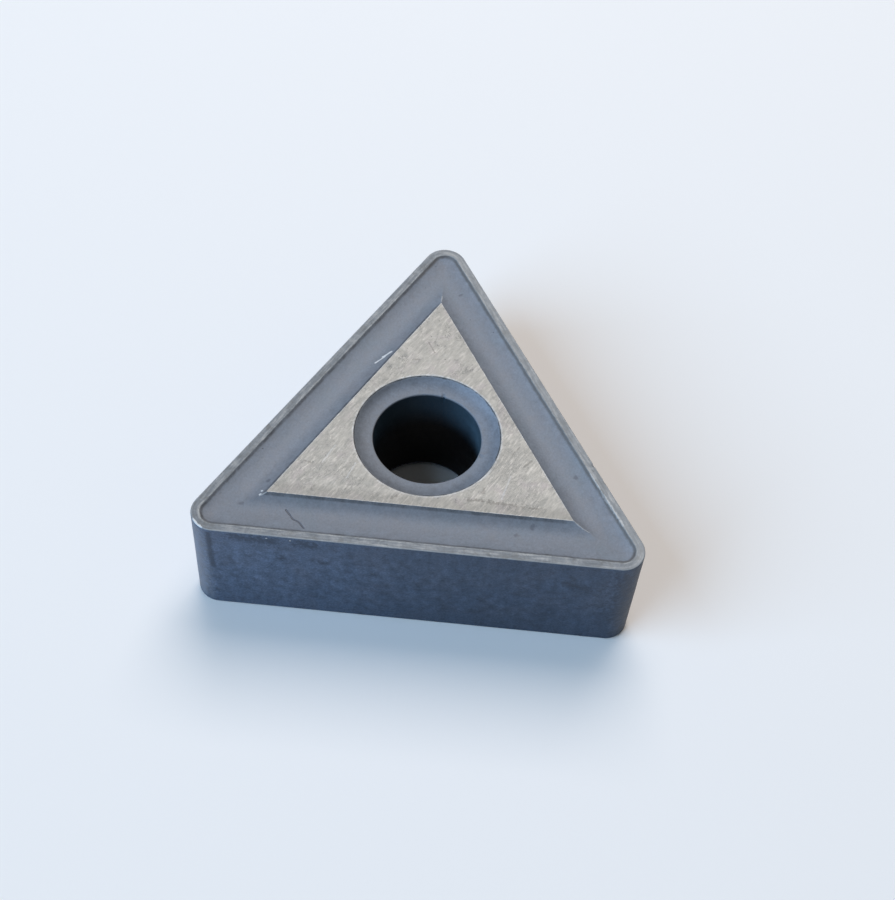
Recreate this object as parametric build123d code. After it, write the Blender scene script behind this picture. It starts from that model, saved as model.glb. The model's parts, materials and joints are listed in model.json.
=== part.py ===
from build123d import *
import os
from math import sqrt

# Indexable turning insert: an equilateral triangle with rounded noses and upright flanks, the
# same on both faces, with a plain round hole for the lock pin. One pressed and sintered body.
#
# Frame: origin on the hole's axis at mid thickness, +Z out of the upper face, one nose on +Y,
# the opposite flank facing -Y. Millimetres.

# Driving sizes
inscribed_dia = 9.525        # circle that touches the three flanks
thickness = 4.7625           # over the two ground seat faces
nose_radius = 0.79375
hone_radius = 0.04           # rounding of the cutting edge

rim_width = 0.30             # ground land behind the cutting edge
rim_drop = 0.03              # the land lies this much under the seat face
lip_run = 0.05               # short steep step from the land down into the groove
lip_fall = 0.05

groove_fall_run = 0.75       # from the step's foot in to the groove's lowest line
groove_rise_run = 0.645      # from there up to the sharp edge of the seat face
groove_depth = 0.24          # under the seat face

hole_dia = 3.81
hole_edge_radius = 0.05      # rounding where the bore meets the dish
dish_width = 0.695           # ring hollowed round each mouth of the hole, past the bore's wall
dish_depth = 0.23            # under the seat face

# Sizes that follow from them
nose_count = 3
nose_pitch = 360 / nose_count
flank_reach = inscribed_dia / 2
nose_centre_reach = flank_reach - nose_radius
nose_centre_half_gap = nose_centre_reach * sqrt(3)
seat_z = thickness / 2
rim_z = seat_z - rim_drop
groove_z = seat_z - groove_depth
dish_z = seat_z - dish_depth
hole_radius = hole_dia / 2
dish_radius = hole_radius + dish_width
clear_of_body = inscribed_dia + thickness


def both_halves(upper_edges):
    """A face from the upper half of its outline, repeated below mid thickness."""
    upper = Curve() + upper_edges
    lower = mirror(upper, about=Plane.XZ)
    return make_face(upper.edges() + lower.edges())


def flank_section():
    """Section square to a flank: rim land, step, chip groove and seat face.

    The first coordinate runs from the flank, at -flank_reach, in to the hole's axis at 0.
    The second is the height over mid thickness.
    """
    rim_end = -flank_reach + rim_width
    lip_end = rim_end + lip_run
    groove_middle = lip_end + groove_fall_run
    seat_start = groove_middle + groove_rise_run

    hone_foot = (-flank_reach, rim_z - hone_radius)
    hone_top = (-flank_reach + hone_radius, rim_z)
    lip_top = (rim_end, rim_z)
    lip_foot = (lip_end, rim_z - lip_fall)
    groove_low = (groove_middle, groove_z)
    seat_edge = (seat_start, seat_z)
    return both_halves([
        Line((-flank_reach, 0), hone_foot),
        TangentArc(hone_foot, hone_top, tangent=(0, 1)),
        Line(hone_top, lip_top),
        Line(lip_top, lip_foot),
        TangentArc(groove_low, lip_foot, tangent=(-1, 0)),
        TangentArc(groove_low, seat_edge, tangent=(1, 0)),
        Line(seat_edge, (0, seat_z)),
        Line((0, seat_z), (0, 0)),
    ])


def flank_third():
    """The section run along the -Y flank and mitred where it meets its two neighbours.

    The mitre follows the bisectors from the hole's axis out to the nose centres, and turns
    square to the flank there, which leaves the noses to be swept round.
    """
    bar = extrude(Plane.YZ * flank_section(), amount=nose_centre_half_gap, both=True)
    mitre = make_face(Polyline(
        (0, 0),
        (-nose_centre_half_gap, -nose_centre_reach),
        (-nose_centre_half_gap, -clear_of_body),
        (nose_centre_half_gap, -clear_of_body),
        (nose_centre_half_gap, -nose_centre_reach),
        close=True,
    ))
    return bar & extrude(mitre, amount=thickness, both=True)


def nose():
    """The outer part of the section, as deep as the nose radius, swept round the right end of
    the -Y flank."""
    outer_band = Pos(-flank_reach, 0) * Rectangle(2 * nose_radius, 2 * thickness)
    outer_section = Plane.YZ * (flank_section() & outer_band)
    at_flank_end = Pos(nose_centre_half_gap, 0, 0) * outer_section
    nose_axis = Axis((nose_centre_half_gap, -nose_centre_reach, 0), (0, 0, 1))
    return revolve(at_flank_end, axis=nose_axis, revolution_arc=nose_pitch)


def hole_cutter():
    """Bore right through, with the dish round each of its mouths."""
    dish_outer_edge = (dish_radius, seat_z)
    dish_inner_edge = (hole_radius + hole_edge_radius, dish_z)
    bore_end = (hole_radius, dish_z - hole_edge_radius)
    profile = both_halves([
        Line((0, 0), (0, clear_of_body)),
        Line((0, clear_of_body), (dish_radius, clear_of_body)),
        Line((dish_radius, clear_of_body), dish_outer_edge),
        TangentArc(dish_inner_edge, dish_outer_edge, tangent=(1, 0)),
        TangentArc(bore_end, dish_inner_edge, tangent=(0, 1)),
        Line(bore_end, (hole_radius, 0)),
    ])
    return revolve(Plane.XZ * profile, axis=Axis.Z)


def make_insert():
    third = flank_third() + nose()
    blank = Part() + [Rot(0, 0, turn * nose_pitch) * third for turn in range(nose_count)]
    return blank - hole_cutter()


os.makedirs("parts", exist_ok=True)
insert = make_insert()
insert.label = "insert"
export_step(insert, "parts/insert.step")
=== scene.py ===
import bpy
import json
import math
from mathutils import Euler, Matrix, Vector


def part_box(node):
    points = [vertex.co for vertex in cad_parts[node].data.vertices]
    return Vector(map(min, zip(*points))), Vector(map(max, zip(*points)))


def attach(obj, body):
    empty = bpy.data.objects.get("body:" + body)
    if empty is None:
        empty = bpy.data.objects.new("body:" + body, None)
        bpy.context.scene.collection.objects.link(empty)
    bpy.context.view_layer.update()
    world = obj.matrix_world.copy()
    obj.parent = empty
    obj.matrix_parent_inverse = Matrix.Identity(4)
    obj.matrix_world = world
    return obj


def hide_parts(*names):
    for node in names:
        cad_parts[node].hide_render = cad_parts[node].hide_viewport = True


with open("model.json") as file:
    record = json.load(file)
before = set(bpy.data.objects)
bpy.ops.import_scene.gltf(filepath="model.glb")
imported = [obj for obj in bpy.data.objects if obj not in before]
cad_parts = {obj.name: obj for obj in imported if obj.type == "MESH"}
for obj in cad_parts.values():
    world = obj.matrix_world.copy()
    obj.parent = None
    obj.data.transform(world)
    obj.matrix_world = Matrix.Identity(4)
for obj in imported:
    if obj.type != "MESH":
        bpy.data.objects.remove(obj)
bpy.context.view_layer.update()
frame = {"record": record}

mm = 0.001
scene = bpy.context.scene


def newObject(name, data):
    thing = bpy.data.objects.new(name, data)
    scene.collection.objects.link(thing)
    return thing


# Small helpers for node trees, used by the shape and by the finishes

def link(tree, source, socket):
    # source is another node's output, or a plain value
    if isinstance(source, bpy.types.NodeSocket):
        tree.links.new(source, socket)
    elif source is not None:
        socket.default_value = source


def linkNamed(tree, node, sources):
    for name, source in sources.items():
        link(tree, source, node.inputs[name])


def addNode(tree, kind, *sources, **settings):
    node = tree.nodes.new(kind)
    for name, value in settings.items():
        setattr(node, name, value)
    for socket, source in zip(node.inputs, sources):
        link(tree, source, socket)
    return node


def calc(tree, operation, a, b=None, c=None):
    return addNode(tree, "ShaderNodeMath", a, b, c, operation=operation).outputs[0]


def product(tree, *factors):
    total = factors[0]
    for factor in factors[1:]:
        total = calc(tree, "MULTIPLY", total, factor)
    return total


def linear(tree, value, factor, offset):
    return calc(tree, "MULTIPLY_ADD", value, factor, offset)


def minus(tree, a, b):
    return calc(tree, "SUBTRACT", a, b)


def calcVector(tree, operation, a, b=None):
    node = addNode(tree, "ShaderNodeVectorMath", a, b, operation=operation)
    return node.outputs["Value" if operation in ("LENGTH", "DISTANCE", "DOT_PRODUCT") else "Vector"]


def scaleVector(tree, vector, factor):
    node = addNode(tree, "ShaderNodeVectorMath", vector, operation="SCALE")
    link(tree, factor, node.inputs["Scale"])
    return node.outputs["Vector"]


def split(tree, vector):
    return addNode(tree, "ShaderNodeSeparateXYZ", vector).outputs[:]


def joined(tree, x, y, z):
    return addNode(tree, "ShaderNodeCombineXYZ", x, y, z).outputs[0]


def remap(tree, value, fromLow, fromHigh, toLow=0.0, toHigh=1.0, smooth=False):
    node = addNode(tree, "ShaderNodeMapRange", value, fromLow, fromHigh, toLow, toHigh)
    node.interpolation_type = "SMOOTHSTEP" if smooth else "LINEAR"
    return node.outputs[0]


def fade(tree, value, *ends):
    return remap(tree, value, *ends, smooth=True)


def noise(tree, vector, scale, detail=2.0, roughness=0.5, warp=0.0, seed=0.0):
    node = addNode(tree, "ShaderNodeTexNoise", noise_dimensions="4D")
    linkNamed(tree, node, {"Vector": vector, "W": seed, "Scale": scale, "Detail": detail,
                           "Roughness": roughness, "Distortion": warp})
    return node.outputs[0]


def newTree(name, inputs, outputs, kind="GeometryNodeTree"):
    tree = bpy.data.node_groups.new(name, kind)
    for way, sockets in (("INPUT", inputs), ("OUTPUT", outputs)):
        for label, socket in sockets:
            tree.interface.new_socket(label, in_out=way, socket_type="NodeSocket" + socket)
    return tree, tree.nodes.new("NodeGroupInput").outputs, tree.nodes.new("NodeGroupOutput").inputs


# The insert's shape: one section, led round a triangle with rounded noses

nodeName = "insert"
boxLow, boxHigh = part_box(nodeName)
mounts = {mount["name"]: mount for mount in frame["record"]["mounts"]}

insertShape = {
    "flankReach": -boxLow.y,
    "noseRadius": (math.sqrt(3) * -boxLow.y - boxHigh.x) / (math.sqrt(3) - 1),
    "seatHeight": boxHigh.z,
    "honeRadius": 0.04 * mm,
    "rimWidth": 0.30 * mm,
    "rimDrop": 0.03 * mm,
    "lipRun": 0.05 * mm,
    "lipFall": 0.05 * mm,
    "grooveFallRun": 0.75 * mm,
    "grooveRiseRun": 0.645 * mm,
    "grooveDepth": 0.24 * mm,
    "holeRadius": mounts["fixing_hole"]["dims"]["r_mm"] * mm,
    "holeEdge": 0.05 * mm,
    "dishWidth": 0.695 * mm,
    "dishDepth": 0.23 * mm,
    "edgeBreak": 0.012 * mm,  # what handling takes off the sharp edges
    "hold": 0.02 * mm,  # a close row of faces on each side of an edge keeps it crisp
    "flankSteps": 176,  # faces along each flank
    "noseSteps": 22,  # faces round each nose
    # faces across each part of the section
    "rows": {"flank": 14, "hone": 5, "rim": 5, "fall": 9, "rise": 10,
             "seat": 9, "dish": 9, "mouth": 5, "bore": 9},
    "raggedness": 0.020 * mm,  # wander of the as-sintered step behind the rim
    "unevenness": 0.005 * mm,  # of the as-sintered skin
    # noises: grains to the millimetre, detail and roughness
    "wander": (4.0, 4.0, 0.65),
    "swell": (1.1, 3.0, 0.55),
    "crumble": (6.0, 3.0, 0.6),
    # chips and nicks: place, reach and depth in millimetres
    "chips": [
        (5.86, -0.62, 2.34, 0.12, 0.018),
        (5.84, -0.86, 2.36, 0.06, 0.022),
        (6.24, -1.30, 2.34, 0.09, 0.012),
        (1.92, -0.55, 2.12, 0.10, 0.035),
        (0.42, 1.88, 2.12, 0.10, 0.040),
    ],
    "sharpAngle": math.radians(28),
    "weld": 0.0001 * mm,
    "seed": 7.0,
}

# Lines of the section that follow: heights over the middle, insets from the flank and radii
seatZ = insertShape["seatHeight"]
rimZ = seatZ - insertShape["rimDrop"]
stepZ = rimZ - insertShape["lipFall"]
grooveZ = seatZ - insertShape["grooveDepth"]
dishZ = seatZ - insertShape["dishDepth"]
stepInset = insertShape["rimWidth"] + insertShape["lipRun"]
grooveInset = stepInset + insertShape["grooveFallRun"]
seatInset = grooveInset + insertShape["grooveRiseRun"]
dishRadius = insertShape["holeRadius"] + insertShape["dishWidth"]
dishFoot = insertShape["holeRadius"] + insertShape["holeEdge"]

zones = ("flank", "hone", "rim", "lip", "groove", "seat", "dish", "bore")


def station(zone, inset, height, radius=0.0, roundness=0.0, skin=0.0, ragged=0.0, edge=0.0):
    # a point of the section; skin and ragged say how uneven and ragged it is, edge how rubbed it is
    # and how much painted highlight it takes where it catches the light
    return {"zone": zones.index(zone), "inset": inset, "height": height, "radius": radius,
            "roundness": roundness, "skin": skin, "ragged": ragged, "edge": edge}


def arcRise(run, rise, away):
    # height over the low point of an arc that starts level there and climbs rise over run
    radius = (run ** 2 + rise ** 2) / (2 * rise)
    return radius - math.sqrt(radius ** 2 - away ** 2)


def outerStations(shape):
    # the upper half of the flank, the honed edge, the rim and the step behind it
    rows = []
    count = shape["rows"]
    hone, cut, hold = shape["honeRadius"], shape["edgeBreak"], shape["hold"]
    flankTop = rimZ - hone
    for row in range(count["flank"]):
        rise = 1 - (1 - row / count["flank"]) ** 1.5  # rows draw closer towards the edge
        rows.append(station("flank", 0, (flankTop - hold) * rise, skin=1 - rise ** 4))
    rows.append(station("flank", 0, flankTop - hold))

    for row in range(count["hone"] + 1):
        turn = math.pi / 2 * row / count["hone"]
        zone = "flank" if row < 2 else "hone"
        rows.append(station(zone, hone * (1 - math.cos(turn)), flankTop + hone * math.sin(turn),
                            edge=math.sin(2 * turn)))

    rimEnd = shape["rimWidth"]
    for row in range(count["rim"] + 1):
        share = row / count["rim"]
        inset = hone + hold + (rimEnd - cut - hone - 2 * hold) * share
        rows.append(station("rim", inset, rimZ, ragged=share ** 4))
    rows.append(station("rim", rimEnd - cut, rimZ, ragged=1, edge=0.6))
    rows.append(station("lip", rimEnd, rimZ - cut / 2, ragged=1, edge=1))
    rows.append(station("lip", (rimEnd + stepInset) / 2, (rimZ + stepZ) / 2, ragged=1))
    return rows


def grooveStations(shape):
    # down to the groove's lowest line and up to the seat
    rows = []
    count = shape["rows"]
    fallRun, riseRun = shape["grooveFallRun"], shape["grooveRiseRun"]
    for row in range(count["fall"]):
        away = fallRun * (1 - row / count["fall"])
        height = grooveZ + arcRise(fallRun, stepZ - grooveZ, away)
        rows.append(station("groove", grooveInset - away, height, skin=min(1, row / 2),
                            ragged=max(0, 1 - row / 2)))
    for row in range(count["rise"] + 1):
        share = row / count["rise"]
        away = (riseRun - shape["edgeBreak"]) * share
        height = grooveZ + arcRise(riseRun, seatZ - grooveZ, away)
        rows.append(station("groove", grooveInset + away, height, skin=1 - share ** 3,
                            ragged=0.5 * (share == 1)))
    return rows


def innerStations(shape):
    # the seat closes in from the triangle to the circle of the dish, which leads to the hole
    rows = []
    count = shape["rows"]
    cut, bend = shape["edgeBreak"], shape["holeEdge"]
    inset = seatInset + cut
    rows.append(station("seat", seatInset, seatZ, dishRadius, 0, ragged=0.5, edge=1))
    rows.append(station("seat", inset, seatZ, dishRadius, 0, ragged=0.4, edge=0.3))
    for row in range(count["seat"] + 1):
        share = 0.03 + 0.94 * row / count["seat"]
        rows.append(station("seat", inset, seatZ, dishRadius + cut, share))
    rows.append(station("seat", inset, seatZ, dishRadius + cut, 1, edge=0.5))

    dishRun = dishRadius - dishFoot
    for row in range(count["dish"] + 1):
        share = row / count["dish"]
        away = (dishRun - cut) * (1 - share)
        height = dishZ + arcRise(dishRun, shape["dishDepth"], away)
        rows.append(station("dish", inset, height, dishFoot + away, 1,
                            skin=math.sin(math.pi * share), edge=0.6 * (row == 0)))
    for row in range(1, count["mouth"] + 1):
        turn = math.pi / 2 * row / count["mouth"]
        rows.append(station("dish", inset, dishZ - bend * (1 - math.cos(turn)),
                            dishFoot - bend * math.sin(turn), 1, edge=0.5 * math.sin(2 * turn)))

    boreTop = dishZ - bend - shape["hold"]
    for row in range(count["bore"] + 1):
        share = row / count["bore"]
        rows.append(station("bore", inset, boreTop * (1 - share), shape["holeRadius"], 1,
                            skin=min(1, 3 * share)))
    return rows


def pointObject(name, places, values):
    # bare points with a value or more each, for a node tree to read
    mesh = bpy.data.meshes.new(name)
    mesh.from_pydata(places, [], [])
    for label, column in values.items():
        mesh.attributes.new(label, "FLOAT", "POINT").data.foreach_set("value", column)
    return newObject(name, mesh)


def sectionObject(shape):
    # x is the inset from the flank, y the radius near the hole and z the height
    upper = outerStations(shape) + grooveStations(shape) + innerStations(shape)
    lower = [dict(row, height=-row["height"]) for row in reversed(upper[:-1])]
    # a face takes its zone from the station that starts it, so below they move one step back
    for row, nextRow in zip(lower, lower[1:]):
        row["zone"] = nextRow["zone"]
    rows = upper + lower
    places = [(row["inset"], row["radius"], row["height"]) for row in rows]
    values = {name: [row[name] for row in rows]
              for name in ("zone", "roundness", "skin", "ragged", "edge")}
    return pointObject("section", places, values), len(rows)


def chipObject(chips):
    places = [[value * mm for value in chip[:3]] for chip in chips]
    return pointObject("chips", places, {"reach": [chip[3] * mm for chip in chips],
                                         "bite": [chip[4] * mm for chip in chips]})


def roundedTriangleGroup():
    # a point on the outline, or on its parallel at an inset; past the nose radius it is mitred
    tree, given, result = newTree(
        "roundedTriangle",
        [("step", "Float"), ("inset", "Float"), ("flankReach", "Float"), ("noseRadius", "Float"),
         ("flankSteps", "Float"), ("noseSteps", "Float")],
        [("Point", "Vector")])
    step, inset, flankReach, noseRadius, flankSteps, noseSteps = given[:6]
    # which third of the outline the step falls in, and how far along the flank or round the nose
    perThird = calc(tree, "ADD", flankSteps, noseSteps)
    third = calc(tree, "FLOOR", calc(tree, "DIVIDE", calc(tree, "ADD", step, 0.25), perThird))
    inThird = minus(tree, step, product(tree, third, perThird))
    along = remap(tree, inThird, 0.0, flankSteps, -1.0, 1.0)
    turnSteps = calc(tree, "MAXIMUM", minus(tree, inThird, flankSteps), 0.0)
    turn = remap(tree, turnSteps, 0.0, noseSteps, math.radians(-90), math.radians(30))

    reach = minus(tree, flankReach, calc(tree, "MAXIMUM", inset, noseRadius))
    corner = calc(tree, "MAXIMUM", minus(tree, noseRadius, inset), 0.0)
    halfSide = product(tree, reach, math.sqrt(3))
    x = linear(tree, along, halfSide,
             product(tree, corner, calc(tree, "COSINE", turn)))
    y = minus(tree, product(tree, corner, calc(tree, "SINE", turn)), reach)
    spin = addNode(tree, "ShaderNodeVectorRotate", rotation_type="Z_AXIS")
    linkNamed(tree, spin, {"Vector": joined(tree, x, y, 0.0),
                           "Angle": product(tree, third, math.radians(120))})
    link(tree, spin.outputs[0], result[0])
    return tree


def attribute(tree, name):
    return addNode(tree, "GeometryNodeInputNamedAttribute", name, data_type="FLOAT").outputs[0]


def sampled(tree, geometry, value, index, kind="FLOAT"):
    # the value that another geometry has at an index
    node = addNode(tree, "GeometryNodeSampleIndex", data_type=kind)
    linkNamed(tree, node, {"Geometry": geometry, "Value": value, "Index": index})
    return node.outputs["Value"]


def store(tree, geometry, name, value, domain="POINT"):
    node = addNode(tree, "GeometryNodeStoreNamedAttribute", data_type="FLOAT", domain=domain)
    linkNamed(tree, node, {"Geometry": geometry, "Name": name, "Value": value})
    return node.outputs["Geometry"]


def bothWays(tree, place, pattern, seed):
    # the middle half of a noise, spread from -1 to 1
    return remap(tree, noise(tree, place, *pattern, seed=seed), 0.25, 0.75, -1.0, 1.0)


def sweptBody(tree, given, shape):
    # one column of faces per step round the outline, one row per station of the section
    section = addNode(tree, "GeometryNodeObjectInfo", given["section"]).outputs["Geometry"]
    outline = roundedTriangleGroup()

    def fromSection(name, index):
        return sampled(tree, section, attribute(tree, name), index)

    def outlinePoint(step, inset):
        node = addNode(tree, "GeometryNodeGroup", node_tree=outline)
        linkNamed(tree, node, {"step": step, "inset": inset})
        linkNamed(tree, node, {name: given[name] for name in
                               ("flankReach", "noseRadius", "flankSteps", "noseSteps")})
        return node.outputs[0]

    around = product(tree, calc(tree, "ADD", given["flankSteps"], given["noseSteps"]), 3.0)
    gaps = minus(tree, given["stations"], 1.0)
    body = addNode(tree, "GeometryNodeMeshGrid", around, gaps,
                   calc(tree, "ADD", around, 1.0), given["stations"]).outputs["Mesh"]
    place = addNode(tree, "GeometryNodeInputPosition").outputs[0]
    x, y = split(tree, place)[:2]
    step = linear(tree, around, 0.5, x)
    row = linear(tree, gaps, 0.5, y)
    faceRow = calc(tree, "FLOOR", row)
    pointRow = calc(tree, "ROUND", row)
    sectionPoint = sampled(tree, section, place, pointRow, "FLOAT_VECTOR")
    inset, radius, height = split(tree, sectionPoint)

    body = store(tree, body, "zone", fromSection("zone", faceRow), "FACE")
    for name in ("skin", "edge"):
        body = store(tree, body, name, fromSection(name, pointRow))
    body = store(tree, body, "inset", calc(tree, "DIVIDE", inset, mm))

    # the step behind the rim wanders in and out
    ring = scaleVector(tree, outlinePoint(step, inset), 1 / mm)
    wander = bothWays(tree, ring, shape["wander"], given["seed"])
    wander = product(tree, wander, given["raggedness"])
    raggedInset = linear(tree, wander, fromSection("ragged", pointRow), inset)
    triangle = outlinePoint(step, raggedInset)
    circle = scaleVector(tree, calcVector(tree, "NORMALIZE", triangle), radius)
    mixed = addNode(tree, "ShaderNodeMix", data_type="VECTOR")
    for number, source in ((0, fromSection("roundness", pointRow)), (4, triangle), (5, circle)):
        link(tree, source, mixed.inputs[number])
    target = calcVector(tree, "ADD", mixed.outputs[1], joined(tree, 0.0, 0.0, height))
    body = addNode(tree, "GeometryNodeSetPosition", body, True, target).outputs[0]
    merge = addNode(tree, "GeometryNodeMergeByDistance", body)
    merge.inputs["Distance"].default_value = shape["weld"]
    return merge.outputs[0]


def wornBody(tree, given, shape, body):
    # the sintered skin is never quite flat, and chips bite in along the surface's normal
    place = addNode(tree, "GeometryNodeInputPosition").outputs[0]
    normal = addNode(tree, "GeometryNodeInputNormal").outputs[0]
    inMm = scaleVector(tree, place, 1 / mm)
    swell = product(tree, bothWays(tree, inMm, shape["swell"], given["seed"]),
                    attribute(tree, "skin"), given["unevenness"])

    chips = addNode(tree, "GeometryNodeObjectInfo", given["chips"]).outputs["Geometry"]
    nearest = addNode(tree, "GeometryNodeSampleNearest", chips, place).outputs[0]
    chipPlace = sampled(tree, chips, place, nearest, "FLOAT_VECTOR")
    reach = sampled(tree, chips, attribute(tree, "reach"), nearest)
    bite = sampled(tree, chips, attribute(tree, "bite"), nearest)
    crumble = noise(tree, inMm, *shape["crumble"], seed=given["seed"])
    crumble = remap(tree, crumble, 0.3, 0.7, 0.55, 1.3)
    away = calc(tree, "DIVIDE", calcVector(tree, "DISTANCE", chipPlace, place),
                product(tree, reach, crumble))
    inside = fade(tree, away, 1.0, 0.35)
    body = store(tree, body, "chip", inside)

    worn = addNode(tree, "GeometryNodeSetPosition", body)
    shift = minus(tree, swell, product(tree, inside, bite))
    link(tree, scaleVector(tree, normal, shift), worn.inputs["Offset"])
    return worn.outputs[0]


def insertTree(shape, finishes):
    tree, given, result = newTree(
        "insertBody",
        [("Geometry", "Geometry"), ("section", "Object"), ("stations", "Int"), ("chips", "Object"),
         ("flankReach", "Float"), ("noseRadius", "Float"), ("flankSteps", "Int"),
         ("noseSteps", "Int"), ("raggedness", "Float"), ("unevenness", "Float"),
         ("sharpAngle", "Float"), ("seed", "Float")],
        [("Geometry", "Geometry")])
    body = wornBody(tree, given, shape, sweptBody(tree, given, shape))

    body = addNode(tree, "GeometryNodeSetShadeSmooth", body, True, True, domain="FACE").outputs[0]
    angle = addNode(tree, "GeometryNodeInputMeshEdgeAngle").outputs[0]
    crease = calc(tree, "GREATER_THAN", angle, given["sharpAngle"])
    body = addNode(tree, "GeometryNodeSetShadeSmooth", body, crease, False,
                   domain="EDGE").outputs[0]
    body = addNode(tree, "GeometryNodeRealizeInstances", body).outputs[0]
    for zone, material in finishes.items():
        chosen = calc(tree, "COMPARE", attribute(tree, "zone"), float(zones.index(zone)), 0.1)
        body = addNode(tree, "GeometryNodeSetMaterial", body, chosen, material).outputs[0]
    link(tree, body, result[0])
    return tree


def plainMesh(carrier, tree, values):
    # runs the tree on its carrier, and keeps the result as an ordinary mesh
    modifier = carrier.modifiers.new("build", "NODES")
    modifier.node_group = tree
    for item in tree.interface.items_tree:
        if item.in_out == "INPUT" and item.name in values:
            modifier[item.identifier] = values[item.name]
    bpy.context.view_layer.update()
    evaluated = carrier.evaluated_get(bpy.context.evaluated_depsgraph_get())
    mesh = bpy.data.meshes.new_from_object(evaluated)
    mesh.materials.pop(index=0)  # the empty slot that the grid came with
    carrier.modifiers.remove(modifier)
    carrier.data = mesh


def makeInsert(shape, finishes):
    section, stations = sectionObject(shape)
    chips = chipObject(shape["chips"])
    body = newObject("insertBody", bpy.data.meshes.new("insertBody"))
    values = {**shape, "section": section, "stations": stations, "chips": chips}
    plainMesh(body, insertTree(shape, finishes), values)
    for thing in (section, chips):
        bpy.data.objects.remove(thing)
    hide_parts(nodeName)
    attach(body, "root")
    print("insert:", len(body.data.polygons), "faces")


# Finishes: every pattern is laid out in the insert's own millimetres

def newFinish(name, look):
    material = bpy.data.materials.new(name)
    material.use_nodes = True
    tree = material.node_tree
    tree.nodes.clear()
    output = tree.nodes.new("ShaderNodeOutputMaterial")
    shader = tree.nodes.new("ShaderNodeBsdfPrincipled")
    tree.links.new(shader.outputs[0], output.inputs["Surface"])
    shader.inputs["Metallic"].default_value = look["metallic"]
    place = scaleVector(tree, tree.nodes.new("ShaderNodeTexCoord").outputs["Object"], 1 / mm)
    return material, tree, shader, place, makePatterns(tree, place, look)


def meshValue(tree, name):
    return addNode(tree, "ShaderNodeAttribute", attribute_name=name).outputs["Fac"]


def spread(tree, pattern, low, high):
    # most of a noise lies between 0.3 and 0.7
    return remap(tree, pattern, 0.3, 0.7, low, high)


def awayFrom(tree, value, middle):
    return calc(tree, "ABSOLUTE", minus(tree, value, middle))


def lessBy(tree, amount):
    return minus(tree, 1.0, amount)


def fromAxis(tree, place):
    return calcVector(tree, "LENGTH", calcVector(tree, "MULTIPLY", place, (1, 1, 0)))


def facing(tree, place, way):
    return calcVector(tree, "DOT_PRODUCT", place, way)


def blend(tree, share, low, high):
    node = addNode(tree, "ShaderNodeMix", data_type="RGBA")
    for number, source in ((0, share), (6, low), (7, high)):
        link(tree, source, node.inputs[number])
    return node.outputs[2]


def drawnOut(tree, place, angle, length, width):
    # turns and stretches a pattern: its grains become this long and this wide
    node = addNode(tree, "ShaderNodeMapping", place, vector_type="TEXTURE")
    node.inputs["Rotation"].default_value[2] = math.radians(angle)
    node.inputs["Scale"].default_value = (length, width, width)
    return node.outputs[0]


# In the looks below, values stand in this order:
# patterns: grains to the millimetre, detail, roughness, warp and seed
# strokes: angle in degrees, length and width in millimetres, then detail and on as above
# layers: pattern, where it starts and is full, its share then and its colour
# tones: pattern, and the factors that it runs between
# ranges: from and to, and what it gives at each end
# pits: cells to the millimetre, width in millimetres and share of the cells, coarse and fine
# marks: softness, raggedness, strength and colour

def makePatterns(tree, place, look):
    patterns = {name: noise(tree, place, *values)
                for name, values in look.get("patterns", {}).items()}
    for name, (angle, length, width, *values) in look.get("strokes", {}).items():
        patterns[name] = noise(tree, drawnOut(tree, place, angle, length, width), 1.0, *values)
    return patterns


def layered(tree, patterns, look):
    colour = look["colour"]
    for name, start, full, share, over in look["layers"]:
        amount = remap(tree, patterns[name], start, full, 0.0, share)
        colour = blend(tree, amount, colour, look[over])
    return colour


def toned(tree, patterns, look):
    return product(tree, *[spread(tree, patterns[name], *ends) for name, *ends in look["tones"]])


def spots(tree, place, perMm, width, share):
    # one spot at most in each cell, and none in most
    cell = addNode(tree, "ShaderNodeTexVoronoi")
    linkNamed(tree, cell, {"Vector": place, "Scale": perMm})
    lot = split(tree, cell.outputs["Color"])
    near = fade(tree, cell.outputs["Distance"], width * perMm / 2, width * perMm / 4)
    return product(tree, near, calc(tree, "GREATER_THAN", lot[0], 1 - share), lot[1])


def pitted(tree, place, look, colour):
    coarse, fine = look["pits"]
    pits = calc(tree, "MAXIMUM", spots(tree, place, *coarse), spots(tree, place, *fine))
    strength, over = look["pitColour"]
    return pits, blend(tree, product(tree, pits, strength), colour, look[over])


def finishSurface(tree, shader, look, colour, pattern, height):
    # roughness runs with a pattern; the relief is in millimetres to one unit of height
    link(tree, colour, shader.inputs["Base Color"])
    link(tree, spread(tree, pattern, *look["roughness"]), shader.inputs["Roughness"])
    bump = addNode(tree, "ShaderNodeBump")
    bump.inputs["Distance"].default_value = look["relief"] * mm
    link(tree, height, bump.inputs["Height"])
    link(tree, bump.outputs[0], shader.inputs["Normal"])
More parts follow.
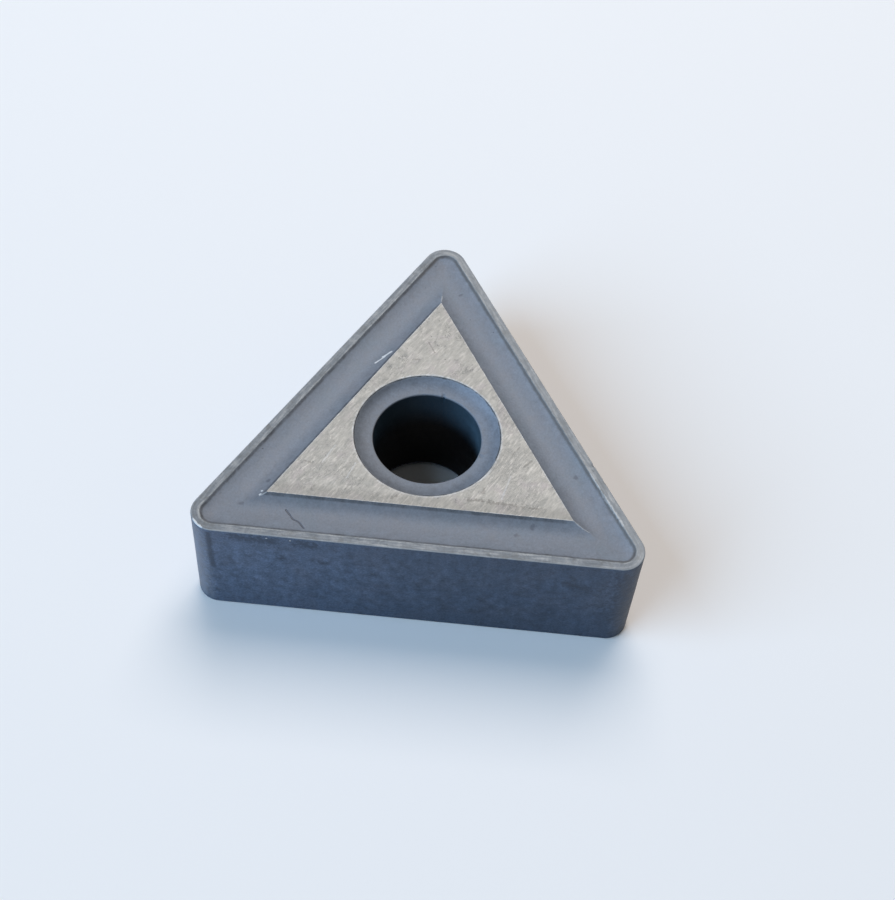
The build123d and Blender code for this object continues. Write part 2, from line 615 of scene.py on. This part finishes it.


# What wear and handling have left, with painted highlights among them: the glint at the left nose,
# the light ridges where the groove walls meet and the lit side of the rubbed left nose. Each mark
# is a line: from, to and width in millimetres, across the upper face (x, y) or up the front flank
# (x, height over the middle)
topMarks = {
    "scratch": [(-2.16, 3.08, -1.84, 3.38, 0.055), (-1.90, 3.38, -1.62, 3.62, 0.075)],
    "hairline": [(-4.49, -3.54, -4.21, -3.88, 0.06), (-4.21, -3.88, -3.99, -3.99, 0.055),
                 (-3.99, -3.99, -3.80, -4.24, 0.055)],
    "speck": [(-5.41, -2.93, -5.39, -2.92, 0.07), (-5.46, -3.10, -5.43, -3.08, 0.06)],
    # a painted highlight at the left nose
    "glint": [(-7.50, -4.40, -7.22, -4.68, 0.09)],
    "rubbedLip": [(5.74, -1.00, 6.20, -1.82, 0.05), (6.20, -1.82, 6.90, -2.98, 0.08)],
    "worn": [(1.65, -2.57, 4.0, -2.68, 0.11), (-3.75, -2.75, -3.65, -2.60, 0.09),
             (-1.05, -2.82, -0.80, -2.70, 0.10)],
    "scuffed": [(2.75, -2.42, 3.0, -1.45, 0.05), (-2.35, -1.50, -2.60, -2.15, 0.05),
                (-3.15, -0.85, -3.50, -1.60, 0.05)],
    "scored": [(3.45, -1.00, 3.70, -0.72, 0.05), (3.00, -0.55, 3.24, -0.20, 0.04),
               (2.10, -2.22, 2.14, -2.05, 0.10), (-4.10, -1.60, -3.90, -1.66, 0.06),
               (-0.30, 4.10, -0.05, 3.66, 0.04), (-0.80, 3.26, -0.55, 3.28, 0.05)],
    "stain": [(-5.28, -2.46, -5.24, -2.43, 0.10), (-6.10, -3.46, -5.99, -3.43, 0.10),
              (5.25, -1.08, 5.28, -1.13, 0.12), (3.30, -3.68, 3.37, -3.64, 0.11),
              (3.85, -3.36, 3.90, -3.28, 0.13), (0.66, 6.66, 0.71, 6.70, 0.09)],
    # painted highlights on the ridges where the groove walls meet
    "ridgeHighlight": [(5.20, -2.99, 5.56, -3.21, 0.05), (5.56, -3.21, 5.78, -3.30, 0.03),
              (0.0, 6.14, 0.0, 6.46, 0.05), (-5.24, -3.04, -5.45, -3.15, 0.04)],
}
flankMarks = {
    "smear": [(-6.98, 2.15, -6.95, 0.85, 0.17), (-6.95, 0.85, -6.90, 0.05, 0.20)],
    # a painted highlight on the rubbed left nose
    "rubbedAndLit": [(-7.46, 2.0, -7.40, -1.9, 0.62)],
    "stain": [(7.15, 1.60, 7.30, -0.60, 0.95), (-6.10, 2.10, -4.80, 2.02, 0.38),
              (-3.95, 2.05, -3.40, 1.96, 0.34), (-4.62, 1.05, -4.50, 1.02, 0.20),
              (-3.15, 0.95, -3.05, 0.90, 0.18), (5.2, 1.15, 5.9, 0.95, 0.3)],
    "speck": [(-5.00, 2.20, -4.98, 2.20, 0.05), (-4.20, 2.19, -4.18, 2.19, 0.04)],
}


def markGroup():
    # how strongly a point lies on a line from start to end
    group, given, result = newTree(
        "mark",
        [("Point", "Vector"), ("Start", "Vector"), ("End", "Vector"), ("Width", "Float"),
         ("Softness", "Float"), ("Wobble", "Float")],
        [("Mask", "Float")], "ShaderNodeTree")
    point, start, end, width, softness, wobble = given[:6]
    fromStart = calcVector(group, "SUBTRACT", point, start)
    line = calcVector(group, "SUBTRACT", end, start)
    share = calc(group, "DIVIDE", calcVector(group, "DOT_PRODUCT", fromStart, line),
                 calcVector(group, "DOT_PRODUCT", line, line))
    share = remap(group, share, 0.0, 1.0, 0.0, 1.0)
    away = calcVector(group, "DISTANCE", fromStart, scaleVector(group, line, share))
    away = calc(group, "ADD", calc(group, "DIVIDE", away, width), wobble)
    mask = fade(group, away, linear(group, softness, 0.5, 0.5), linear(group, softness, -0.5, 0.5))
    link(group, mask, result[0])
    return group


def topSpot(tree, place):
    # the place on the upper face, and a weak measure of how far under it
    x, y, z = split(tree, place)
    return joined(tree, x, y, linear(tree, z, 0.04, -0.09))


def flankSpot(tree, place):
    # the place on the front flank, and a measure of how far behind it
    x, y, z = split(tree, place)
    depth = linear(tree, y, 0.3, 0.3 * insertShape["flankReach"] / mm)
    return joined(tree, x, z, depth)


def markMasks(tree, spot, places, look, group):
    # one mask for each kind of mark, with its outline broken up a little
    masks = {}
    for kind, (softness, ragged, *_) in look["marks"].items():
        wobble = spread(tree, noise(tree, spot, 7.0, 3.0, 0.65), -ragged, ragged)
        for x1, y1, x2, y2, width in places[kind]:
            node = addNode(tree, "ShaderNodeGroup", node_tree=group)
            linkNamed(tree, node, {"Point": spot, "Start": (x1, y1, 0), "End": (x2, y2, 0),
                                   "Width": width, "Softness": softness, "Wobble": wobble})
            mask = node.outputs[0]
            masks[kind] = calc(tree, "MAXIMUM", masks[kind], mask) if kind in masks else mask
    return masks


def layMarks(tree, colour, masks, look, *kinds):
    for kind in kinds:
        strength, over = look["marks"][kind][2:]
        colour = blend(tree, product(tree, masks[kind], strength), colour, look[over])
    return colour


seatLook = {
    "metallic": 0.40,
    "roughness": (0.68, 0.50),
    "relief": 0.0012,
    "colour": (0.355, 0.336, 0.306, 1),
    "rosy": (0.376, 0.338, 0.328, 1),
    "scratched": (0.460, 0.438, 0.410, 1),
    "dull": (0.256, 0.244, 0.224, 1),
    "dirty": (0.185, 0.172, 0.155, 1),
    "rubbedAndLit": (0.520, 0.520, 0.530, 1),
    "pitted": (0.10, 0.10, 0.10, 1),
    "patterns": {
        "cloud": (0.9, 4.0, 0.62, 0.5, 2.0),
        "tint": (1.3, 4.0, 0.65, 0.8, 15.0),
        "mottle": (2.4, 5.0, 0.66, 1.8, 9.0),
        "grain": (11.0, 3.0, 0.65, 0.0, 4.0),
        "curls": (2.6, 2.0, 0.6, 2.2, 12.0),
    },
    "strokes": {
        "streaks": (58, 0.42, 0.075, 3.0, 0.6, 1.0, 0.0),
        "fineStreaks": (66, 0.26, 0.045, 3.0, 0.6, 0.8, 3.0),
        "crossing": (14, 0.42, 0.05, 2.0, 0.6, 0.8, 5.0),
    },
    "layers": [
        ("tint", 0.52, 0.66, 0.8, "rosy"),
        ("cloud", 0.45, 0.68, 0.5, "dull"),
        ("mottle", 0.52, 0.70, 0.5, "scratched"),
        ("mottle", 0.46, 0.30, 0.4, "dull"),
        ("streaks", 0.54, 0.70, 0.6, "scratched"),
        ("streaks", 0.44, 0.30, 0.45, "dull"),
        ("fineStreaks", 0.58, 0.72, 0.4, "scratched"),
        ("fineStreaks", 0.42, 0.30, 0.25, "dull"),
        ("crossing", 0.62, 0.74, 0.45, "dull"),
        ("grain", 0.56, 0.72, 0.3, "dull"),
    ],
    "ranges": {
        "curlWidth": (0.022, 0.006),
        "curlPatches": (0.44, 0.56),
        "farCorner": (2.4, 3.2, 0.30, 0.70),
        "frontStrip": (-2.35, -2.62, 0.0, 0.35),
        "byDish": (0.07, 0.03, 0.0, 0.7),
        "byGroove": (0.1, 0.4),
        "rubbing": (0.40, 0.62, 0.1, 0.8),
    },
    "pits": [(2.4, 0.09, 0.4), (5.0, 0.06, 0.25)],
    "pitColour": (0.7, "pitted"),
    "dents": 3.0,  # depth of pits and curls against the grain's
    "marks": {
        "worn": (0.9, 0.9, 0.8, "dirty"),
        "scuffed": (0.9, 0.5, 0.4, "rubbedAndLit"),
        "scored": (0.9, 0.5, 0.65, "dirty"),
    },
}


def makeSeatFinish(look, group):
    material, tree, shader, place, patterns = newFinish("groundSeat", look)
    y = split(tree, place)[1]
    streaks, mottle, grain = patterns["streaks"], patterns["mottle"], patterns["grain"]
    ranges = look["ranges"]
    colour = layered(tree, patterns, look)

    # thin curls where a noise crosses its middle, in patches, and more of them to the far corner
    curls = product(tree, remap(tree, awayFrom(tree, patterns["curls"], 0.5), *ranges["curlWidth"]),
                    remap(tree, patterns["cloud"], *ranges["curlPatches"]),
                    remap(tree, y, *ranges["farCorner"]))
    colour = blend(tree, curls, colour, look["pitted"])

    # a dirty strip along the front edge, and the longer scores and scuffs
    masks = markMasks(tree, topSpot(tree, place), topMarks, look, group)
    strip = linear(tree, grain, 0.3, y)
    strip = fade(tree, strip, *ranges["frontStrip"])
    worn = product(tree, masks["worn"], look["marks"]["worn"][2])
    dirt = calc(tree, "MAXIMUM", strip, worn)
    colour = blend(tree, dirt, colour, look["dirty"])
    colour = layMarks(tree, colour, masks, look, "scuffed", "scored")
    pits, colour = pitted(tree, place, look, colour)

    # the edges of the seat are rubbed pale, and carry a painted highlight where they catch the
    # light
    pastDish = minus(tree, fromAxis(tree, place), dishRadius / mm)
    byDish = fade(tree, pastDish, *ranges["byDish"])
    byGroove = remap(tree, meshValue(tree, "edge"), *ranges["byGroove"])
    edge = product(tree, calc(tree, "MAXIMUM", byDish, byGroove),
                   remap(tree, mottle, *ranges["rubbing"]))
    colour = blend(tree, edge, colour, look["rubbedAndLit"])

    height = calc(tree, "ADD", calc(tree, "ADD", streaks, patterns["fineStreaks"]),
                  calc(tree, "ADD", mottle, grain))
    dents = linear(tree, pits, look["dents"],
                 linear(tree, curls, look["dents"], masks["scored"]))
    finishSurface(tree, shader, look, colour, streaks, minus(tree, height, dents))
    return material


rimLook = {
    "metallic": 0.50,
    "roughness": (0.62, 0.44),
    "relief": 0.006,
    "colour": (0.135, 0.151, 0.172, 1),
    "bright": (0.254, 0.263, 0.271, 1),
    "polishedAndLit": (0.45, 0.48, 0.51, 1),
    "stained": (0.094, 0.100, 0.104, 1),
    "patterns": {
        "patches": (2.2, 5.0, 0.68, 0.8, 6.0),
        "grain": (12.0, 3.0, 0.65, 0.0, 4.0),
    },
    "layers": [
        ("streaks", 0.5, 0.75, 0.8, "bright"),
        ("streaks", 0.45, 0.25, 0.6, "stained"),
        ("patches", 0.50, 0.66, 0.8, "stained"),
        ("patches", 0.48, 0.34, 0.5, "bright"),
        ("grain", 0.54, 0.70, 0.6, "stained"),
    ],
    "ranges": {
        "right": (3.5, 4.4, 0.0, 0.30),
        "innerEdge": (0.235, 0.285),
        "rubbing": (0.3, 0.6, 0.85, 0.1),
        "hone": (0.055, 0.03, 0.0, 0.25),
    },
    "grinding": (1.3, 17.0),  # lines to the millimetre along the edge and across it
    "grainRelief": 0.8,  # against the grinding's
    "chipStrength": 0.7,
    "marks": {"glint": (0.6, 0.4, 1.0, "polishedAndLit"), "rubbedLip": (0.5, 0.5, 0.4, "polishedAndLit")},
}
rightFlank = (0.866, 0.5, 0)  # the way that the right flank faces


def makeRimFinish(look, group):
    material, tree, shader, place, patterns = newFinish("groundRim", look)
    inset = meshValue(tree, "inset")
    ranges = look["ranges"]
    # grinding lines that follow the edge, since they change fast with the inset alone
    alongScale, acrossScale = look["grinding"]
    x, y = split(tree, scaleVector(tree, place, alongScale))[:2]
    alongEdge = joined(tree, x, y, product(tree, inset, acrossScale))
    streaks = patterns["streaks"] = noise(tree, alongEdge, 1.0, 4.0, 0.66, 0.5, seed=1.0)
    colour = layered(tree, patterns, look)
    right = remap(tree, facing(tree, place, rightFlank), *ranges["right"])
    colour = blend(tree, right, colour, look["bright"])

    # both edges of the land are rubbed bright, and carry a painted highlight where they catch the
    # light
    rubbedAndLit = product(tree, fade(tree, inset, *ranges["innerEdge"]),
                     remap(tree, patterns["patches"], *ranges["rubbing"]))
    colour = blend(tree, rubbedAndLit, colour, look["bright"])
    hone = fade(tree, inset, *ranges["hone"])
    colour = blend(tree, hone, colour, look["polishedAndLit"])
    masks = markMasks(tree, topSpot(tree, place), topMarks, look, group)
    # the glint at the left nose is a painted highlight
    colour = layMarks(tree, colour, masks, look, "glint", "rubbedLip")
    chipped = product(tree, meshValue(tree, "chip"), look["chipStrength"])
    colour = blend(tree, chipped, colour, look["stained"])

    height = linear(tree, patterns["grain"], look["grainRelief"], streaks)
    finishSurface(tree, shader, look, colour, streaks, height)
    return material


skinLook = {
    "metallic": 0.15,
    "roughness": (0.48, 0.62),
    "relief": 0.008,
    "colour": (0.165, 0.182, 0.216, 1),
    "warmer": (0.171, 0.182, 0.212, 1),
    "cooler": (0.160, 0.182, 0.216, 1),
    "stepDarkColour": (0.105, 0.100, 0.098, 1),
    "dishShaded": (0.158, 0.170, 0.196, 1),
    "dishLit": (0.155, 0.191, 0.250, 1),
    "dark": (0.06, 0.065, 0.085, 1),
    "light": (0.60, 0.61, 0.63, 1),
    "patterns": {
        "cloud": (0.8, 5.0, 0.66, 0.8, 1.0),
        "mottle": (3.2, 4.0, 0.65, 0.3, 2.0),
        "grain": (13.0, 3.0, 0.7, 0.0, 3.0),
    },
    "strokes": {"pressing": (64, 0.45, 0.06, 2.0, 0.55, 0.0, 8.0)},
    "layers": [("cloud", 0.50, 0.66, 1.0, "warmer"), ("cloud", 0.48, 0.34, 1.0, "cooler")],
    "tones": [("mottle", 0.86, 1.13), ("grain", 0.89, 1.11), ("pressing", 0.97, 1.03)],
    "ranges": {
        "dishSide": (-2.0, 2.4),
        "dishWall": (-0.35, -0.15),
        "wallFar": (0.2, 1.2),
        "wallSide": (-1.8, 1.8, -0.25, 0.26),
        "right": (2.6, 3.0),
        "underSeat": (0.08, 0.02),
        "lineBreaks": (0.35, 0.6, 1.0, 0.5),
        "dishLine": (0.0, 0.05, 0.0, 1.3),
        "stepShade": (0.055, 0.02),
        "shadeBreaks": (0.35, 0.65, 0.55, 0.12),
        "front": (-2.6, -3.3),
        "middleShade": (0.4, 0.1, 0.0, 0.10),
        "wallShade": (1.15, 1.6, 0.0, 0.16),
        "litPaler": (0.2, 0.7, -0.03, 0.2),
        "stepDark": (0.50, 0.41, 0.0, 0.8),
        "rubbing": (0.35, 0.6, 0.35, 0.05),
    },
    "dishStrength": 0.85,
    "lineStrength": 0.65,
    "lineInset": seatInset / mm - 0.045,
    "lineOnRight": -0.85,  # what the right flank's groove adds to it
    "dishLineEnd": 0.2,
    "raggedness": 0.14,
    "stepDarkEdge": 0.12,
    "stepDarkShares": (0.7, 0.3),  # on the right, and everywhere
    "middles": (1.0, 0.95),  # insets of the front and the right groove's middle
    "pits": [(1.3, 0.10, 0.3), (3.4, 0.05, 0.2)],
    "pitColour": (0.6, "dark"),
    "reliefs": {"mottle": 1.5, "pits": 2.0, "hairline": 3.0},  # against the grain's
    "marks": {
        "stain": (0.8, 0.4, 0.6, "dark"),
        "hairline": (0.35, 0.2, 0.75, "dark"),
        "ridgeHighlight": (0.35, 0.2, 0.4, "light"),
        "rubbedLip": (0.5, 0.5, 0.25, "light"),
        "scratch": (0.35, 0.2, 0.95, "light"),
        "speck": (0.35, 0.2, 0.95, "light"),
    },
}


def dishPaintedLight(tree, place, pastDish, look, colour):
    # painted light: greyer and shaded on its left, bluer and lit on its right, with a far wall
    # painted darker on the left and paler to the right
    x, y = split(tree, place)[:2]
    ranges = look["ranges"]
    inDish = calc(tree, "LESS_THAN", pastDish, 0.02)
    side = remap(tree, facing(tree, place, rightFlank), *ranges["dishSide"])
    tint = blend(tree, side, look["dishShaded"], look["dishLit"])
    colour = blend(tree, product(tree, inDish, look["dishStrength"]), colour, tint)
    wall = product(tree, inDish, remap(tree, pastDish, *ranges["dishWall"]),
                   remap(tree, y, *ranges["wallFar"]), remap(tree, x, *ranges["wallSide"]))
    return scaleVector(tree, colour, calc(tree, "ADD", wall, 1.0))


def seatEdgeShade(tree, inset, pastDish, mottle, right, look):
    # painted shade: a dark line runs under the edges of the seat, at the groove and at the dish,
    # weakest on the right
    ranges = look["ranges"]
    byGroove = fade(tree, awayFrom(tree, inset, look["lineInset"]), *ranges["underSeat"])
    byGroove = product(tree, byGroove, remap(tree, mottle, *ranges["lineBreaks"]),
                       linear(tree, right, look["lineOnRight"], 1.0))
    ragged = linear(tree, mottle, look["raggedness"], pastDish)
    byDish = product(tree, fade(tree, ragged, *ranges["dishLine"]),
                     calc(tree, "LESS_THAN", ragged, look["dishLineEnd"]))
    return product(tree, calc(tree, "MAXIMUM", byGroove, byDish), look["lineStrength"])


def grooveShadeAndLight(tree, place, inset, mottle, right, look):
    # painted shade lies in the step behind the rim, and in the front groove, most of it under the
    # seat
    ranges = look["ranges"]
    frontMiddle, rightMiddle = look["middles"]
    y = split(tree, place)[1]
    stepShade = fade(tree, awayFrom(tree, inset, stepInset / mm), *ranges["stepShade"])
    stepShade = product(tree, stepShade, remap(tree, mottle, *ranges["shadeBreaks"]))
    frontShade = calc(tree, "ADD",
                   fade(tree, awayFrom(tree, inset, frontMiddle), *ranges["middleShade"]),
                   fade(tree, inset, *ranges["wallShade"]))
    frontShade = product(tree, frontShade, fade(tree, y, *ranges["front"]))
    # painted light: the right groove is paler at its two sides
    litPaler = remap(tree, awayFrom(tree, inset, rightMiddle), *ranges["litPaler"])
    litPaler = linear(tree, litPaler, right, 1.0)
    return product(tree, lessBy(tree, stepShade), lessBy(tree, frontShade), litPaler)


def makeSkinFinish(look, group):
    material, tree, shader, place, patterns = newFinish("sinteredSkin", look)
    inset = meshValue(tree, "inset")
    ranges, reliefs = look["ranges"], look["reliefs"]
    pastDish = minus(tree, fromAxis(tree, place), dishRadius / mm)
    right = remap(tree, facing(tree, place, rightFlank), *ranges["right"])
    mottle = patterns["mottle"]
    colour = dishPaintedLight(tree, place, pastDish, look, layered(tree, patterns, look))
    line = seatEdgeShade(tree, inset, pastDish, mottle, right, look)
    tone = product(tree, toned(tree, patterns, look), lessBy(tree, line),
                   grooveShadeAndLight(tree, place, inset, mottle, right, look))
    colour = scaleVector(tree, colour, tone)

    # darker by the step behind the rim, most of it on the right
    stepDark = linear(tree, mottle, look["stepDarkEdge"], inset)
    stepDark = remap(tree, stepDark, *ranges["stepDark"])
    stepDark = product(tree, stepDark, linear(tree, right, *look["stepDarkShares"]))
    colour = blend(tree, stepDark, colour, look["stepDarkColour"])
    pits, colour = pitted(tree, place, look, colour)

    masks = markMasks(tree, topSpot(tree, place), topMarks, look, group)
    # the light ridges where the groove walls meet are a painted highlight
    colour = layMarks(tree, colour, masks, look, "stain", "hairline", "ridgeHighlight", "rubbedLip")
    # the edges are rubbed pale, and carry a painted highlight where they catch the light
    edge = product(tree, meshValue(tree, "edge"), remap(tree, mottle, *ranges["rubbing"]))
    colour = blend(tree, edge, colour, look["light"])
    colour = layMarks(tree, colour, masks, look, "scratch", "speck")

    height = linear(tree, mottle, reliefs["mottle"], patterns["grain"])
    dents = linear(tree, pits, reliefs["pits"],
                 product(tree, masks["hairline"], reliefs["hairline"]))
    finishSurface(tree, shader, look, colour, mottle, minus(tree, height, dents))
    return material


flankLook = {
    "metallic": 0.45,
    "edgeTint": (0.6, 0.6, 0.6, 1),
    "roughness": (0.37, 0.52),
    "relief": 0.008,
    "colour": (0.077, 0.109, 0.170, 1),
    "warmer": (0.084, 0.110, 0.164, 1),
    "stained": (0.034, 0.042, 0.060, 1),
    "light": (0.55, 0.57, 0.60, 1),
    "patterns": {
        "cloud": (0.6, 4.0, 0.6, 0.8, 4.0),
        "mottle": (3.4, 4.0, 0.68, 0.1, 5.0),
        "grain": (13.0, 3.0, 0.7, 0.0, 6.0),
    },
    "layers": [("cloud", 0.44, 0.64, 1.0, "warmer")],
    "tones": [("mottle", 0.62, 1.38), ("grain", 0.72, 1.28), ("runs", 0.88, 1.12)],
    "runs": (3.0, 3.0, 0.6, 0.0, 7.0),
    "runStretch": 0.18,
    "ranges": {
        "across": (-6.0, 2.5, 1.22, 0.80),
        "up": (-2.2, 0.8, 0.92, 1.0),
        "rightNose": (7.0, 7.6, 1.0, 0.6),
        "nearRim": (1.3, 2.2),
        "blotches": (0.52, 0.66, 0.0, 0.6),
    },
    "pits": [(1.5, 0.11, 0.35), (3.6, 0.055, 0.3)],
    "pitColour": (0.6, "stained"),
    "reliefs": {"mottle": 1.5, "pits": 2.0},  # against the grain's
    "marks": {
        "rubbedAndLit": (1.0, 0.4, 0.16, "light"),
        "stain": (1.0, 0.9, 0.6, "stained"),
        "smear": (0.7, 0.3, 0.65, "stained"),
        "speck": (0.35, 0.2, 1.0, "light"),
    },
}


def makeFlankFinish(look, group):
    material, tree, shader, place, patterns = newFinish("sinteredFlank", look)
    shader.inputs["Specular Tint"].default_value = look["edgeTint"]
    x, y, z = split(tree, place)
    mottle = patterns["mottle"]
    ranges, reliefs = look["ranges"], look["reliefs"]
    # faint upright runs
    upright = joined(tree, x, y, product(tree, z, look["runStretch"]))
    patterns["runs"] = noise(tree, upright, *look["runs"])
    # painted shade darkens the flank to the right and lower down; it is darker too at the right
    # nose
    shades = [fade(tree, value, *ranges[name])
              for value, name in ((x, "across"), (z, "up"), (x, "rightNose"))]
    tone = product(tree, toned(tree, patterns, look), *shades)
    colour = scaleVector(tree, layered(tree, patterns, look), tone)

    # blotches gather under the two rims
    nearRim = fade(tree, calc(tree, "ABSOLUTE", z), *ranges["nearRim"])
    blotch = product(tree, remap(tree, mottle, *ranges["blotches"]), nearRim)
    colour = blend(tree, blotch, colour, look["stained"])
    pits, colour = pitted(tree, place, look, colour)
    masks = markMasks(tree, flankSpot(tree, place), flankMarks, look, group)
    # the rubbed left nose carries a painted highlight
    colour = layMarks(tree, colour, masks, look, "rubbedAndLit", "stain", "smear", "speck")

    height = linear(tree, mottle, reliefs["mottle"], patterns["grain"])
    height = minus(tree, height, product(tree, pits, reliefs["pits"]))
    finishSurface(tree, shader, look, colour, mottle, height)
    return material


boreLook = {
    "metallic": 0.0,
    "roughness": (0.36, 0.50),
    "specular": 0.15,
    "relief": 0.008,
    # the hole is kept dark: painted shade of a deep hole
    "colour": (0.026, 0.044, 0.062, 1),
    "worn": (0.072, 0.120, 0.165, 1),
    "deep": (0.002, 0.002, 0.003, 1),
    "patterns": {"mottle": (1.8, 4.0, 0.65, 0.5, 5.0), "grain": (12.0, 3.0, 0.7, 0.0, 6.0)},
    "ranges": {"litPatches": (0.35, 0.60, 0.5, 1.0), "right": (0.4, 1.8), "down": (1.6, 0.2)},
}


def makeBoreFinish(look):
    material, tree, shader, place, patterns = newFinish("holeSkin", look)
    shader.inputs["Specular IOR Level"].default_value = look["specular"]
    x, _, z = split(tree, place)
    mottle = patterns["mottle"]
    ranges = look["ranges"]
    # painted light on the right wall, in patches, and painted shadow further down, where no light
    # reaches
    worn = product(tree, remap(tree, mottle, *ranges["litPatches"]), remap(tree, x, *ranges["right"]))
    colour = blend(tree, worn, look["colour"], look["worn"])
    down = fade(tree, z, *ranges["down"])
    colour = blend(tree, down, colour, look["deep"])
    height = calc(tree, "ADD", mottle, patterns["grain"])
    finishSurface(tree, shader, look, colour, mottle, height)
    return material


def makeFinishes():
    group = markGroup()
    seat = makeSeatFinish(seatLook, group)
    rim = makeRimFinish(rimLook, group)
    skin = makeSkinFinish(skinLook, group)
    flank = makeFlankFinish(flankLook, group)
    bore = makeBoreFinish(boreLook)
    print("finishes: ground seat, ground rim, sintered skin, flank and hole")
    return {"flank": flank, "hone": rim, "rim": rim, "lip": skin, "groove": skin,
            "seat": seat, "dish": skin, "bore": bore}


# Camera, floor and light

cameraView = {
    "place": (0.889, -33.171, 48.629),  # millimetres
    "turn": (35.789, -1.940, 5.295),  # degrees
    "lens": 65.14,
    "sensor": 36.0,
    "shift": (0.0417, -0.0244),
    "clip": (0.001, 10),  # metres
}

floorLook = {
    "metallic": 0,
    "roughness": 0.8,
    "colour": (0.878, 0.852, 0.845, 1),
    "radius": 0.24,  # metres
    "sides": 128,
}

studio = {
    "worldColour": (1.0, 1.0, 0.92, 1),
    "worldGlow": 0.16,
    "backdropColour": (0.90, 0.95, 1.0, 1),
    "backdropGlow": 0.62,
    # soft boxes: place and size in metres, glow and colour
    "coolBox": ((-0.400, -0.230, 0.376), 0.46, 4.75, (0.47, 0.72, 1.0)),
    "warmBox": ((0.014, 0.123, 0.214), 0.165, 4.70, (1.0, 0.945, 0.90)),
}


def makeCamera(view):
    data = bpy.data.cameras.new("camera")
    data.sensor_width = view["sensor"]
    data.lens = view["lens"]
    data.shift_x, data.shift_y = view["shift"]
    data.clip_start, data.clip_end = view["clip"]
    camera = newObject("camera", data)
    camera.location = Vector(view["place"]) * mm
    camera.rotation_euler = Euler([math.radians(angle) for angle in view["turn"]])
    scene.camera = camera
    print("camera: in place")


def makeFloor(look, height):
    mesh = bpy.data.meshes.new("floor")
    turns = [2 * math.pi * side / look["sides"] for side in range(look["sides"])]
    edge = [(look["radius"] * math.cos(turn), look["radius"] * math.sin(turn), height)
            for turn in turns]
    mesh.from_pydata(edge, [], [tuple(range(look["sides"]))])
    floor = newObject("floor", mesh)
    material, _, shader, *_ = newFinish("floorPaper", look)
    shader.inputs["Base Color"].default_value = look["colour"]
    shader.inputs["Roughness"].default_value = look["roughness"]
    mesh.materials.append(material)
    print("floor: in place")


def makeLamp(name, place, size, glow, colour):
    data = bpy.data.lights.new(name, "AREA")
    data.shape = "SQUARE"
    data.size = size
    data.color = colour
    data.energy = glow * math.pi * size ** 2
    lamp = newObject(name, data)
    lamp.location = place
    lamp.rotation_euler = (-Vector(place)).to_track_quat("-Z", "Y").to_euler()


def makeWorld(values):
    world = bpy.data.worlds.new("studio")
    world.use_nodes = True
    tree = world.node_tree
    lit = tree.nodes["Background"]
    lit.inputs["Color"].default_value = values["worldColour"]
    lit.inputs["Strength"].default_value = values["worldGlow"]
    # the camera and the metal see a paler backdrop than the one that lights the room
    seen = addNode(tree, "ShaderNodeBackground", values["backdropColour"], values["backdropGlow"])
    rays = tree.nodes.new("ShaderNodeLightPath").outputs
    direct = calc(tree, "MAXIMUM", rays["Is Camera Ray"], rays["Is Glossy Ray"])
    direct = calc(tree, "MAXIMUM", direct, rays["Is Transmission Ray"])
    mixed = addNode(tree, "ShaderNodeMixShader", direct, lit.outputs[0], seen.outputs[0])
    link(tree, mixed.outputs[0], tree.nodes["World Output"].inputs["Surface"])
    scene.world = world


makeInsert(insertShape, makeFinishes())
makeCamera(cameraView)
makeFloor(floorLook, boxLow.z)
for box in ("coolBox", "warmBox"):
    makeLamp(box, *studio[box])
makeWorld(studio)
print("light: two soft boxes and the world")
scene.view_settings.view_transform = "Standard"
